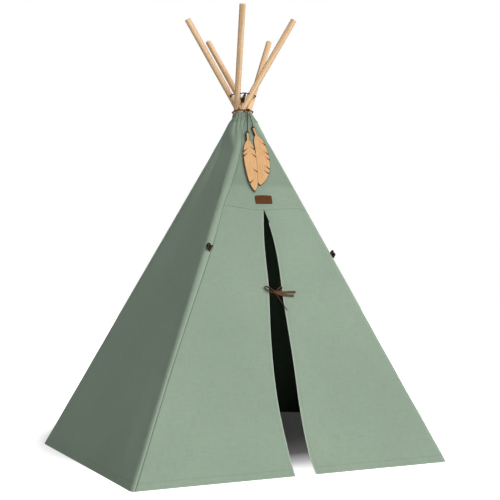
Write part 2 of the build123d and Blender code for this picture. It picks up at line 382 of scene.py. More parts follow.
# --- materials ---
SAGE = (0.260, 0.337, 0.258)
SAGE_LIGHT = (0.287, 0.369, 0.282)
# painted highlight colour of the raised pole sleeve
SAGE_SLEEVE_HIGHLIGHT = (0.321, 0.405, 0.315)
# colour of the painted shadow along the seams
SAGE_SEAM_SHADOW = (0.085, 0.115, 0.085)
SAGE_THREAD = (0.300, 0.370, 0.290)
SLEEVE_STITCH = 0.029
HEM_STITCH = 0.020


def canvas_material(name, seams, sleeve_highlight=False, worn=0.0, painted_shade_by_height=None):
    """Cotton canvas. seams lists the sewn lines as (UV axis, place, width, depth of the painted shadow
    along the line). The sleeve switch paints a lighter band over a pole sleeve, which has a second
    layer of cloth: a painted highlight where the raised sleeve catches the light. worn is the width of
    the pale rubbed strip along a free edge. The height stops are a ramp of painted shade, darker higher up."""
    material, tree, shader = new_material(name)
    cloth = node(tree, "UVMap", {"uv_map": "Cloth"}).outputs[0]
    seam = node(tree, "UVMap", {"uv_map": "Seam"}).outputs[0]
    split = node(tree, "SeparateXYZ", i0=seam)
    broad = speckle(tree, cloth, 3.0, 3.0)
    mottle = speckle(tree, cloth, 70.0, 4.0, 0.7)
    warp = speckle(tree, scaled(tree, cloth, (420.0, 26.0, 1.0)), 1.0, 2.0)
    weft = speckle(tree, scaled(tree, cloth, (26.0, 420.0, 1.0)), 1.0, 2.0)
    slub = maths(tree, "ADD", warp, weft)
    colour = mix(tree, tones(tree, broad, 0.3, 0.0, 0.7, 1.0), SAGE, SAGE_LIGHT)
    colour = wash(tree, 0.30, colour, slub, 0.8, 0.86, 1.2, 1.10)
    colour = wash(tree, 0.32, colour, mottle, 0.3, 0.9, 0.7, 1.06)
    # painted shade: the colour darkens higher up, by the ramp stops
    if painted_shade_by_height:
        rise = node(tree, "SeparateXYZ", i0=cloth).outputs[1]
        colour = mix(tree, 1.0, colour, ramp(tree, rise, *painted_shade_by_height), "MULTIPLY")
    threads = [
        node(
            tree, "TexWave", {"bands_direction": direction},
            Vector=cloth, Scale=290.0, Distortion=0.6, Detail=1.0,
        ).outputs["Fac"]
        for direction in "XY"
    ]
    weave = maths(tree, "MAXIMUM", threads[0], threads[1])
    height = maths(tree, "ADD", times(tree, weave, 0.6), times(tree, slub, 0.5))
    # painted highlight: a lighter band over the pole sleeve, where the raised sleeve catches the light
    if sleeve_highlight:
        band = maths(tree, "LESS_THAN", split.outputs[0], SLEEVE_STITCH)
        colour = mix(tree, times(tree, band, 0.4), colour, SAGE_SLEEVE_HIGHLIGHT)
    for axis, place, width, depth in seams:
        distance, length = split.outputs[axis], split.outputs[1 - axis]
        # painted shadow along each seam line, beside its stitches
        shade = line_mask(tree, distance, place, width)
        colour = mix(tree, times(tree, shade, depth), colour, SAGE_SEAM_SHADOW)
        dash = dashes(tree, length, 0.0036, -0.35)
        stitch = times(tree, line_mask(tree, distance, place + 0.0022, 0.0016), dash)
        colour = mix(tree, stitch, colour, SAGE_THREAD)
        height = maths(tree, "SUBTRACT", height, times(tree, shade, 1.6))
        height = maths(tree, "ADD", height, times(tree, stitch, 1.2))
    if worn:
        strip = line_mask(tree, split.outputs[0], 0.0, 2 * worn)
        colour = mix(tree, times(tree, strip, 0.8), colour, (0.50, 0.57, 0.49))
    shader.inputs["Sheen Weight"].default_value = 0.06
    shader.inputs["Sheen Roughness"].default_value = 0.6
    rough = tones(tree, mottle, 0.3, 0.82, 0.7, 0.96)
    finish(tree, shader, colour, rough, 0.12, height, 0.35, 0.0006)
    return material


def wood_material(name, origin, along, pale, dark, shift):
    """Pine dowel: long grain lines, a few darker bands and fine pores."""
    material, tree, shader = new_material(name)
    side = along.orthogonal().normalized()
    from_origin = vector_maths(tree, "SUBTRACT", object_place(tree), origin)
    axes = (side, along.cross(side), along)
    parts = [vector_maths(tree, "DOT_PRODUCT", from_origin, axis) for axis in axes]
    vector = node(tree, "CombineXYZ", i0=parts[0], i1=parts[1], i2=parts[2]).outputs[0]
    moved = vector_maths(tree, "ADD", vector, (shift, shift * 0.7, shift * 3))
    bands = node(
        tree, "TexWave", {"wave_type": "RINGS", "rings_direction": "Z"},
        Vector=scaled(tree, moved, (1.0, 1.0, 0.05)),
        Scale=38.0, Distortion=5.0, Detail=3.0, Detail_Scale=1.6,
    ).outputs["Fac"]
    pores = speckle(tree, scaled(tree, moved, (900.0, 900.0, 18.0)), 1.0, 3.0)
    slow = speckle(tree, moved, 7.0, 2.0)
    colour = mix(tree, tones(tree, bands, 0.35, 0.0, 0.95, 0.8), pale, dark)
    colour = wash(tree, 0.5, colour, pores, 0.35, 0.82, 0.65, 1.08)
    colour = wash(tree, 0.6, colour, slow, 0.3, 0.86, 0.7, 1.06)
    rough = tones(tree, pores, 0.3, 0.5, 0.7, 0.7)
    finish(tree, shader, colour, rough, 0.3, maths(tree, "ADD", pores, bands), 0.25, 0.0004)
    return material


LEATHER_GRAIN = 900.0


def leather_material(name, base, edge, worn):
    """Suede: cell grain, blotches, and paler rubbed high spots."""
    material, tree, shader = new_material(name)
    place = object_place(tree)
    cells = node(tree, "TexVoronoi", Vector=place, Scale=LEATHER_GRAIN).outputs["Distance"]
    blotch = speckle(tree, place, 90.0, 4.0, 0.65)
    fine = speckle(tree, place, LEATHER_GRAIN * 1.5, 2.0)
    colour = mix(tree, tones(tree, blotch, 0.35, 0.0, 0.68, 1.0), base, edge)
    colour = mix(tree, tones(tree, fine, 0.5, 0.0, 0.8, 0.5), colour, worn)
    height = maths(tree, "ADD", cells, times(tree, fine, 0.4))
    rough = tones(tree, blotch, 0.3, 0.55, 0.7, 0.8)
    finish(tree, shader, colour, rough, 0.25, height, 0.4, 0.0003)
    return material


def cord_material(name, dark, light):
    """Waxed cord: fine fibres in two tones."""
    material, tree, shader = new_material(name)
    place = object_place(tree)
    fibres = speckle(tree, place, 1400.0, 3.0)
    patches = speckle(tree, place, 160.0, 2.0)
    colour = mix(tree, tones(tree, fibres, 0.35, 0.0, 0.7, 1.0), dark, light)
    colour = wash(tree, 0.6, colour, patches, 0.3, 0.7, 0.7, 1.15)
    finish(tree, shader, colour, tones(tree, fibres, 0.3, 0.6, 0.7, 0.85), 0.15, fibres, 0.5, 0.0003)
    return material


# seam lines: (UV axis, place, width, depth of the painted shadow along the seam)
SLEEVE_LINE = (0, SLEEVE_STITCH, 0.0050, 0.85)
HEM_LINE = (1, HEM_STITCH, 0.003, 0.2)
canvas = canvas_material("canvas", (SLEEVE_LINE, HEM_LINE), sleeve_highlight=True)
# painted shade: the yoke darkens towards the top, where the canopy gathers to the neck
canvas_yoke = canvas_material(
    "canvas_yoke", (SLEEVE_LINE, (1, 0.0, 0.005, 0.22)), sleeve_highlight=True,
    painted_shade_by_height=((0.90, grey(0.985)), (0.98, grey(0.93)), (1.24, grey(0.80))),
)
canvas_flap = canvas_material("canvas_flap", ((0, 0.010, 0.0024, 0.18), HEM_LINE), worn=0.0040)
# painted shade: the neck cuff is painted darker over its gathered cloth
canvas_cuff = canvas_material(
    "canvas_cuff", ((1, 0.030, 0.003, 0.3),), painted_shade_by_height=((0.0, grey(0.80)), (0.08, grey(0.70))),
)
suede = leather_material("suede", (0.022, 0.011, 0.006), (0.045, 0.022, 0.011), (0.11, 0.060, 0.036))
lace = leather_material("lace", (0.070, 0.030, 0.012), (0.120, 0.058, 0.022), (0.34, 0.19, 0.085))
dark_cord = cord_material("dark_cord", (0.012, 0.009, 0.007), (0.05, 0.035, 0.022))
brown_cord = cord_material("brown_cord", (0.060, 0.022, 0.009), (0.150, 0.062, 0.026))
olive_cord = cord_material("olive_cord", (0.15, 0.12, 0.04), (0.30, 0.25, 0.10))


# --- canvas ---
CLOTH_THICKNESS = 0.0011
CORNER_ROUND = 0.018


def corner_round(z):
    """Radius of the canopy's rounded corner, which grows into the round neck."""
    return CORNER_ROUND + (outer(z) - CORNER_ROUND) * smooth((z - 1.040) / 0.105)


def half_width(z):
    """Length of cloth from the middle of a wall to the middle of its corner."""
    r = corner_round(z)
    return (outer(z) - r) * tan(HALF) + r * HALF


def neck_folds(angle):
    """The soft pleats round the neck, as a wave of about 1."""
    return 0.7 * sin(17 * angle + 1.5 * sin(3 * angle)) + 0.3 * sin(29 * angle)


def seam_rise(azimuth, u, z):
    """How far the cloth round the yoke's seam is drawn up, most of all towards the poles."""
    if azimuth != FRONT:
        return 0.0
    climb = 0.017 * smooth((SLIT_TOP_X - u) / 0.16) + 0.007 * smooth((u - SLIT_TOP_X) / 0.12)
    near = exp(-(((z - YOKE_SEAM) / 0.09) ** 2))
    return climb * near * smooth((half_width(z) - abs(u)) / 0.03)


def sleeve_seam(z):
    """Distance of a sleeve's stitch line from the corner: the sleeve tapers to the foot."""
    return SLEEVE_STITCH * (0.26 + 0.74 * smooth((z - 0.18) / 0.75))


def relief(azimuth, u, z):
    """How far the cloth stands out from the flat wall at a point."""
    s = half_width(z) - abs(u)
    sewn = sleeve_seam(z)
    fade = 1 - smooth((z - 0.98) / 0.1)
    if u < 0:
        lift = -0.0012 * smooth((s - sewn + 0.007) / 0.008) * fade
        lift -= 0.0007 * exp(-(((s - sewn) / 0.003) ** 2)) * fade
    else:
        lift = -0.0012 * smooth((s - 0.022) / 0.150) * fade
    slack = smooth((s - 0.035) / 0.10) * smooth(z / 0.06) * fade
    seed = azimuth * 0.13
    slow = noise.noise(Vector((u * 2.2 + seed, z * 1.6, seed)))
    drag = noise.noise(Vector((u * 9.0 + seed, z * 1.3 + u * 2.0, 5.0 + seed)))
    pucker = sin(z / 0.021 + 2.0 * noise.noise(Vector((seed, z * 5, 1))))
    pucker *= exp(-abs(s - sewn - 0.007) / 0.012)
    lift += slack * (0.0060 * slow + 0.0016 * drag) + 0.0004 * pucker * fade
    angle = radians(azimuth) + HALF * u / half_width(z)
    gather = smooth((z - 0.93) / 0.22)
    lift += 0.0010 * gather * gather * neck_folds(angle)
    lift += 0.0009 * gather * sin(9 * angle + z * 5)
    return lift


def ridge_drift(azimuth, u, z):
    """The canopy's ridges follow the poles, which pass the middle of the tent on one side.
    The wall's clockwise ridge slides along the wall, and its other ridge sinks inward."""
    aside = WAIST_RADIUS * z / WAIST_HEIGHT * (1 - smooth((z - 1.02) / 0.12))
    share = u / half_width(z)
    sink = smooth((share - 0.2) / 0.8) if azimuth == FRONT else smooth((share + 1) / 2)
    slide = 1.236 * smooth(-share) + 0.382 * smooth(share)
    return polar(aside * slide, azimuth + 90, 0) - polar(aside * 1.176 * sink, azimuth, 0)


def cloth_point(azimuth, u, z, extra=0.0):
    """The outside of the canopy: u is the distance along the cloth from the wall's middle."""
    z += seam_rise(azimuth, u, z)
    r = corner_round(z)
    flat = (outer(z) - r) * tan(HALF)
    side = 1 if u > 0 else -1
    turn = max((abs(u) - flat) / r, 0.0)
    across = side * (min(abs(u), flat) + r * sin(turn))
    out = outer(z) - r + r * cos(turn)
    e_out, e_across = polar(1, azimuth, 0), polar(1, azimuth + 90, 0)
    level = e_out * cos(turn) + e_across * side * sin(turn)
    normal = level * cos(WALL_TILT) + Vector((0, 0, sin(WALL_TILT)))
    base = e_out * out + e_across * across + Vector((0, 0, z)) + ridge_drift(azimuth, u, z)
    return base + normal * (relief(azimuth, u, z) + extra)


def cloth_normal(azimuth, u, z, extra):
    def at(u, z):
        return cloth_point(azimuth, u, z, extra(u, z))

    step = 0.0015
    return (at(u + step, z) - at(u - step, z)).cross(at(u, z + step) - at(u, z - step)).normalized()


def no_extra(u, z):
    return 0.0


# distances of the close columns from a corner
CORNER_COLUMNS = [c / 1000 for c in (0, 3, 6, 9, 12, 16, 20, 23, 26, 29, 32, 35, 40, 48)]


def column_places(start, end, corner_at_start, corner_at_end, middle):
    """Places across a strip of cloth: close together at a pole sleeve, even elsewhere."""
    width = end - start
    room = width * (0.45 if corner_at_start and corner_at_end else 0.6)
    shrink = min(1.0, room / CORNER_COLUMNS[-1])
    left = [start + c * shrink for c in CORNER_COLUMNS] if corner_at_start else [start]
    right = [end - c * shrink for c in reversed(CORNER_COLUMNS)] if corner_at_end else [end]
    inside = [left[-1] + (right[0] - left[-1]) * k / middle for k in range(1, middle)]
    return left + inside + right


def make_cloth(
    name, azimuth, low, high, start, end, corner, material, rows, middle, extra=no_extra, edge=None
):
    """A piece of canvas between two edges. start(z) and end(z) are its sides, corner is -1 or 1
    for the side that ends at a pole and 0 for neither, and edge(z) is a free edge's place."""
    heights = [low + rise / 1000 for rise in (0, 4, 10, 17, 21, 27)]
    heights += [low + 0.027 + (high - low - 0.031) * k / rows for k in range(1, rows + 1)] + [high]
    outside, inside, cloth_uv, seam_uv, normals = [], [], [], [], []
    for z in heights:
        places = column_places(start(z), end(z), corner < 0, corner > 0, middle)
        for u in places:
            point = cloth_point(azimuth, u, z, extra(u, z))
            normal = cloth_normal(azimuth, u, z, extra)
            outside.append(point)
            normals.append(normal)
            inside.append(point - normal * CLOTH_THICKNESS)
            cloth_uv.append((u + azimuth * 0.01, z / cos(WALL_TILT)))
            to_sleeve = half_width(z) + u + SLEEVE_STITCH - sleeve_seam(z) if corner < 0 else 1.0
            to_seam = abs(u - edge(z)) if edge else to_sleeve
            seam_uv.append((to_seam, (z - low) / cos(WALL_TILT)))
    wide, tall = len(places), len(heights)
    count = wide * tall
    faces = []
    for i in range(tall - 1):
        for k in range(wide - 1):
            a = i * wide + k
            quad = (a, a + 1, a + wide + 1, a + wide)
            faces.append(quad)
            faces.append(tuple(j + count for j in reversed(quad)))
    border = list(range(wide)) + [i * wide + wide - 1 for i in range(1, tall)]
    border += [(tall - 1) * wide + k for k in reversed(range(wide - 1))]
    border += [i * wide for i in reversed(range(1, tall - 1))]
    for a, b in zip(border, border[1:] + border[:1]):
        faces.append((b, a, a + count, b + count))
    uvs = {"Cloth": cloth_uv * 2, "Seam": seam_uv * 2}
    made = mesh_object(name, outside + inside, faces, material, uvs, normals + [-n for n in normals])
    bottom, top = end(low) - start(low), end(high) - start(high)
    length = (high - low) / cos(WALL_TILT)
    area = (bottom + top) / 2 * length
    widest = max(bottom, top)
    return made, (widest, length), area


def gather_with_pole(piece, corner):
    """The piece rides on the pole at a corner, with a mesh of its own."""
    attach(piece, f"pole_{corner}")
    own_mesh(piece)


def half_names(azimuth):
    """The poles at the clockwise and anticlockwise sides of a wall."""
    names = {value % 360: key for key, value in CORNERS.items()}
    return names[(azimuth - 36) % 360], names[(azimuth + 36) % 360]


WALLS = {"wall_right": 342, "wall_back_right": 54, "wall_back_left": 126, "wall_left": 198}


def make_halves(node_name, names, azimuth, low, material, rows, extra=no_extra):
    """Two halves of a wall that meet at its middle. Each belongs to the pole at its side."""
    before, after = half_names(azimuth)
    halves = (
        (before, lambda z: -half_width(z), lambda z: 0.0, -1),
        (after, lambda z: 0.0, half_width, 1),
    )
    for name, (corner, start, end, side) in zip(names, halves):
        piece, flat, area = make_cloth(
            name, azimuth, low, PANEL_TOP, start, end, side, material, rows, 12, extra
        )
        gather_with_pole(piece, corner)
        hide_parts(node_name)


def yoke_lip(u, z):
    """The yoke's lower edge is folded under, and stands over the panels below it."""
    return 0.0009 * (1 - smooth((z - YOKE_SEAM - 0.010) / 0.006))


for wall_name, wall_azimuth in WALLS.items():
    wall_pieces = (f"canvas_{wall_name}_a", f"canvas_{wall_name}_b")
    make_halves(wall_name, wall_pieces, wall_azimuth, HEM_HEIGHT, canvas, 60)
make_halves(
    "front_yoke", ("canvas_yoke_left", "canvas_yoke_right"), FRONT, YOKE_SEAM - 0.004,
    canvas_yoke, 26, yoke_lip,
)


def crease_x(side, z):
    share = (YOKE_SEAM - z) / YOKE_SEAM
    return SLIT_TOP_X + share * (side * CREASE_FOOT_X - SLIT_TOP_X)


# free edge of each door flap, from the top of the slit to the hem: (x, height) in millimetres
LEFT_EDGE = millimetres((
    (15.5, 802), (8.5, 750), (2, 690), (-2, 620), (-5, 540), (-22.5, 360), (-28, 200), (-16, 60), (-6.5, 0),
))
RIGHT_EDGE = millimetres((
    (16.5, 802), (27, 745), (34.5, 685), (38, 600), (36, 500), (37, 300), (35.5, 150), (42, 45), (53, 0),
))


def edge_x(edge, z):
    """A free edge's x at a height, on a smooth line through its points."""
    for i in range(len(edge) - 1):
        (x1, z1), (x2, z2) = edge[i], edge[i + 1]
        if z >= z2 or i == len(edge) - 2:
            x0, z0 = edge[max(i - 1, 0)]
            x3, z3 = edge[min(i + 2, len(edge) - 1)]
            t = (z - z1) / (z2 - z1)
            m1 = (x2 - x0) / (z2 - z0) * (z2 - z1)
            m2 = (x3 - x1) / (z3 - z1) * (z2 - z1)
            h00, h10 = 2 * t**3 - 3 * t**2 + 1, t**3 - 2 * t**2 + t
            h01, h11 = -2 * t**3 + 3 * t**2, t**3 - t**2
            return h00 * x1 + h10 * m1 + h01 * x2 + h11 * m2


FLAP_TOPS = {"left": 0.796, "right": 0.752}


def flap_edge(side, z):
    return edge_x(LEFT_EDGE if side < 0 else RIGHT_EDGE, z)


def flap_curl(side):
    """The flap's free edge bows outward a little between the bow and the hem."""
    def extra(u, z):
        near = exp(-abs(u - flap_edge(side, z)) / 0.035)
        low = sin(pi * min(max(z / 0.50, 0.0), 1.0)) ** 2
        wave = 0.6 + 0.4 * sin(z * 17 + side)
        return 0.0045 * near * low * wave
    return extra


def flap_squash(piece):
    """Gives a flap, or a piece of the bow on it, a mesh of its own."""
    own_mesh(piece)


def make_doors():
    for side, corner, word in ((-1, "front_left", "left"), (1, "front_right", "right")):
        top = YOKE_SEAM - 0.0005
        crease = lambda z, s=side: crease_x(s, min(z, YOKE_SEAM))
        if side < 0:
            start, end = (lambda z: -half_width(z)), crease
        else:
            start, end = crease, half_width
        panel, flat, area = make_cloth(
            f"canvas_door_side_{word}", FRONT, HEM_HEIGHT, top, start, end, side, canvas, 44, 10
        )
        gather_with_pole(panel, corner)
        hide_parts(f"door_side_{word}")
        free = lambda z, s=side: flap_edge(s, z)
        first, last = (crease, free) if side < 0 else (free, crease)
        flap, flat, area = make_cloth(
            f"canvas_door_flap_{word}", FRONT, HEM_HEIGHT, FLAP_TOPS[word], first, last, 0,
            canvas_flap, 44, 16, flap_curl(side), free,
        )
        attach(flap, f"flap_{word}")
        flap_squash(flap)
        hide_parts(f"door_flap_{word}")


make_doors()


# --- neck ---
def bundle_reach(angle, z, beyond):
    """How far out a band drawn tight round the five poles is, in one direction. beyond is its
    distance from the centre line of a pole."""
    best = 1.0
    centres = []
    for corner in CORNERS.values():
        centres.append(waist_point(corner) + pole_direction(corner) * ((z - WAIST_HEIGHT) / cos(LEAN)))
    for k in range(-40, 41):
        away = polar(1, angle + 2 * k, 0)
        support = max(centre.dot(away) for centre in centres) + beyond
        best = min(best, support / cos(radians(2 * k)))
    return best


POLE_OVAL = POLE_RADIUS / cos(LEAN)      # a pole's radius in a level section
NECK_TOP = 0.0555                        # radius of the canopy where the neck starts


def make_cuff():
    """The neck: cloth drawn in round the poles in soft pleats, with its top turned inside."""
    # height, and distance outside the poles
    rings = millimetres((
        (1145.5, 3), (1152, 3), (1159, 3), (1166, 3), (1173, 2.8), (1180, 2.4),
        (1185, 1.9), (1188, 1.2), (1188.8, 0.4), (1186, -0.2), (1180, -0.4),
    ))
    sides = 240
    points, cloth_uv, seam_uv = [], [], []
    run = 0.0
    for i, (z, beyond) in enumerate(rings):
        if i:
            run += abs(z - rings[i - 1][0]) * 1.2
        loose = 1 - smooth((z - 1.150) / 0.020)
        for k in range(sides):
            angle = 360 * k / sides
            tight = bundle_reach(angle, z, POLE_OVAL + beyond)
            reach = tight + (NECK_TOP - tight) * loose
            points.append(polar(reach + 0.0010 * neck_folds(radians(angle)), angle, z))
            cloth_uv.append((radians(angle) * 0.05, run))
            seam_uv.append((1.0, run))
    faces = ring_faces(len(rings), sides)
    cuff = mesh_object("canvas_neck", points, faces, canvas_cuff, {"Cloth": cloth_uv, "Seam": seam_uv})
    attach(cuff, "canopy")
    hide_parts("neck_cuff")


make_cuff()


def twisted(line, radius, strand, turns, strands=2, closed=True):
    """Strands wound round a line, as (points, faces)."""
    frames = frames_along(line, closed)
    parts = []
    for index in range(strands):
        wound = []
        for i, (centre, (_, a, b)) in enumerate(zip(line, frames)):
            turn = 2 * pi * (turns * i / len(line) + index / strands)
            wound.append(centre + (a * cos(turn) + b * sin(turn)) * radius)
        parts.append(tube(wound, strand, 8, closed))
    return joined(*parts)


def drawstring_point(angle, beyond=0.0026):
    """A point of the drawstring's centre line."""
    height = DRAWSTRING_HEIGHT + 0.0008 * sin(radians(angle * 2 + 30))
    return polar(bundle_reach(angle, height, POLE_OVAL + beyond), angle, height)


DRAWSTRING_TURNS = 34           # twists in the cord, once round the neck
WHIPPING_START = 326            # azimuth where the whipping starts


def make_drawstring():
    """Twisted cord tight round the poles, with an olive whipping where its ends meet."""
    line = [drawstring_point(360 * k / 240) for k in range(240)]
    ring = mesh_object("neck_drawstring", *twisted(line, 0.0011, 0.00125, DRAWSTRING_TURNS), brown_cord)
    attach(ring, "canopy")
    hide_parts("drawstring")
    held = [drawstring_point(WHIPPING_START + 1.5 * k, 0.0034) for k in range(14)]
    whipping = mesh_object("neck_whipping", *twisted(held, 0.0016, 0.0012, 5, 3, False), olive_cord)
    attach(whipping, "canopy")


make_drawstring()


KNOT_STEPS = 90


def knot_line(size):
    """A closed trefoil line, which reads as a small tight knot."""
    line = []
    for i in range(KNOT_STEPS):
        t = 2 * pi * i / KNOT_STEPS
        line.append(Vector((
            size * (sin(t) + 2 * sin(2 * t)) / 3,
            size * 0.55 * sin(3 * t),
            size * (cos(t) - 2 * cos(2 * t)) / 3,
        )))
    return line


def box_centre(node_name):
    low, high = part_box(node_name)
    return (low + high) / 2


def make_drawstring_knot():
    centre, turn = box_centre("drawstring_knot"), Matrix.Rotation(0.4, 3, "X")
    line = [centre + turn @ p for p in knot_line(0.0052)]
    knot = mesh_object("neck_drawstring_knot", *tube(line, 0.0018, 9, closed=True), brown_cord)
    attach(knot, "canopy")
    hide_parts("drawstring_knot")


make_drawstring_knot()


# --- leather trim ---
FRONT_OUT = Vector((0, -cos(WALL_TILT), sin(WALL_TILT)))
FRONT_UP = Vector((0, sin(WALL_TILT), cos(WALL_TILT)))
FRONT_TURN = Matrix((Vector((1, 0, 0)), FRONT_UP, FRONT_OUT)).transposed()


def on_front(x, z, lift):
    """Moves local points (right, up the wall, out from it) to a place on the front wall."""
    origin = front_point(x, z)
    return lambda p: origin + FRONT_TURN @ Vector((p[0], p[1], p[2] + lift))


def label_material():
    """The label's leather, with a stitched border and darker pressed edges."""
    material, tree, shader = new_material("label_leather")
    uv = node(tree, "UVMap", {"uv_map": "Edge"}).outputs[0]
    split = node(tree, "SeparateXYZ", i0=uv)
    edge, round_it = split.outputs[0], split.outputs[1]
    place = object_place(tree)
    cells = node(tree, "TexVoronoi", Vector=place, Scale=LEATHER_GRAIN).outputs["Distance"]
    blotch = speckle(tree, place, 60.0, 5.0, 0.6)
    blotches = tones(tree, blotch, 0.35, 0.0, 0.68, 1.0)
    colour = mix(tree, blotches, (0.095, 0.031, 0.009), (0.135, 0.046, 0.015))
    rim = tones(tree, times(tree, edge, 1000 / 4), 0.1, 1.0, 0.6, 0.0)
    colour = mix(tree, rim, colour, (0.040, 0.014, 0.005))
    dash = dashes(tree, round_it, 0.003, -0.2)
    stitch = times(tree, line_mask(tree, edge, 0.0026, 0.0012), dash)
    colour = mix(tree, stitch, colour, (0.20, 0.085, 0.034))
    height = maths(tree, "ADD", cells, times(tree, stitch, 2.0))
    finish(tree, shader, colour, tones(tree, blotch, 0.3, 0.55, 0.7, 0.75), 0.12, height, 0.5, 0.0003)
    return material


def make_label():
    """A blank stitched leather patch with rounded corners and a slight curve."""
    width, tall = LABEL_SIZE
    thick = LABEL_THICKNESS
    place = on_front(LABEL_X, LABEL_HEIGHT, LABEL_LIFT)
    # share of the full size, and height above the wall
    rings = (
        (1.0, 0.0), (1.0, thick * 0.8), (0.985, thick), (0.93, thick * 1.02), (0.86, thick),
        (0.6, thick), (0.3, thick),
    )
    points, uv = [], []
    count = 96
    for share, lift in rings:
        for k in range(count):
            a = 2 * pi * k / count
            c, s = cos(a), sin(a)
            x = copysign(abs(c) ** LABEL_SQUARE, c) * width / 2
            y = copysign(abs(s) ** LABEL_SQUARE, s) * tall / 2
            gap = (1 - share) * tall / 2
            inner_x, inner_y = x * (1 - gap * 2 / width), y * share
            curve = -0.0006 * (inner_x / (width / 2)) ** 2
            points.append(place((inner_x, inner_y, lift + curve)))
            uv.append((gap, (inner_x if abs(y) > 0.9 * tall / 2 else inner_y)))
    faces = ring_faces(len(rings), count)
    faces.append(tuple((len(rings) - 1) * count + k for k in range(count)))
    faces.append(tuple(reversed(range(count))))
    label = mesh_object("label_patch", points, faces, label_material(), {"Edge": uv})
    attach(label, "pole_front_right")
    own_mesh(label)
    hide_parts("leather_label")


make_label()


TIEBACK_KNOT = 0.0098           # half a knot's width
TIEBACK_CORD = 0.0029           # radius


def make_tiebacks():
    """A knotted suede loop beside each front corner, on the wall anticlockwise of it."""
    for corner, word in (("front_left", "left"), ("front_right", "right")):
        middle = CORNERS[corner] + 36
        out = polar(cos(WALL_TILT), middle, sin(WALL_TILT))
        across = polar(1, middle + 90, 0)
        up = out.cross(across)
        turn = Matrix((across, out, up)).transposed() @ Matrix.Rotation(0.35, 3, "Y")
        centre = box_centre(f"tieback_{word}") - out * 0.002
        line = [centre + turn @ p for p in knot_line(TIEBACK_KNOT)]
        root = nurbs_line([
            centre - out * 0.007 + up * 0.004, centre - out * 0.003 + up * 0.003, centre + up * 0.002,
        ])
        ends = nurbs_line([
            centre - up * 0.002, centre - up * 0.008 - out * 0.002, centre - up * 0.0155 - out * 0.003,
        ])
        points, faces = joined(
            tube(line, TIEBACK_CORD, 9, closed=True), tube(root, 0.0030, 9), tube(ends, 0.0022, 9)
        )
        knot = mesh_object(f"tieback_knot_{word}", points, faces, suede)
        gather_with_pole(knot, corner)
        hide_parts(f"tieback_{word}")


make_tiebacks()


# routes from the knot's place, in millimetres: right, up the wall, out from it
BOW_LOOPS = {
    "left": ((-3, 2, 6), (-13, 12, 7), (-26, 23, 6), (-33, 20, 5), (-30, 12, 5), (-17, 1, 6), (-2, -2, 6)),
    "right": ((3, 0, 6), (8, 9, 7), (18, 18, 6), (25, 17, 5), (22, 9, 5), (13, 2, 6), (4, -1, 6)),
}
BOW_TAILS = {
    "upper": ((4, 0, 5.5), (14, 1, 3.6), (30, 0, 2.6), (52, 1, 3), (67, 0, 3)),
    "lower": ((4, -2, 5), (14, -7, 3.4), (30, -10, 2.6), (48, -12, 3), (60, -13, 3)),
}
BOW_END = ((2, -3, 5), (6, -14, 4), (14, -30, 3), (26, -52, 2), (31, -62, 2))
LOOP_SIZE = (0.0056, 0.0024)    # width and thickness of the thong
TAIL_SIZE = (0.0074, 0.0014)


def make_bow():
    """A bow of flat suede thong: knot, two slanting loops, two tails and a thin end."""
    place = on_front(TIE_X, TIE_HEIGHT, 0.0)
    for word, route in BOW_LOOPS.items():
        line = nurbs_line([place(p) for p in millimetres(route)])
        loop = mesh_object(f"bow_loop_{word}", *ribbon(line, FRONT_OUT, *LOOP_SIZE), lace)
        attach(loop, f"flap_{word}")
        flap_squash(loop)
        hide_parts(f"tie_loop_{word}")
    centre = place((0, 0, 0.005))
    line = [centre + FRONT_TURN @ Vector((p.x, p.z * 0.9, p.y)) for p in knot_line(0.0052)]
    knot = mesh_object("bow_knot", *tube(line, 0.0024, 9, closed=True), lace)
    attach(knot, "flap_left")
    flap_squash(knot)
    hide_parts("tie_knot")
    for word, route in BOW_TAILS.items():
        line = nurbs_line([place(p) for p in millimetres(route)])
        tail = mesh_object(f"bow_tail_{word}", *ribbon(line, FRONT_UP, *TAIL_SIZE), lace)
        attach(tail, "flap_right")
        flap_squash(tail)
        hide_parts(f"tie_tail_{word}")
    line = nurbs_line([place(p) for p in millimetres(BOW_END)])
    end = mesh_object("bow_thin_end", *tube(line, 0.0011, 8), lace)
    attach(end, "flap_right")
    flap_squash(end)


make_bow()


# --- feathers ---
# name: (hole x, hole height, lift from the wall, lean in degrees, length, bow of the quill)
FEATHERS = {
    "left": (-0.003, 1.096, 0.005, -0.7, 0.261, -0.003),
    "right": (0.021, 1.119, 0.001, -1.1, 0.258, 0.021),
}
FEATHER_THICKNESS = 0.003
FEATHER_CORD = 0.0028
BURNT_RIM = 0.0011


def feather_axes(lean):
    """Across and up directions of a feather that leans in the plane of the wall."""
    a = radians(lean)
    right = Vector((1, 0, 0))
    return right * cos(a) + FRONT_UP * sin(a), FRONT_UP * cos(a) - right * sin(a)


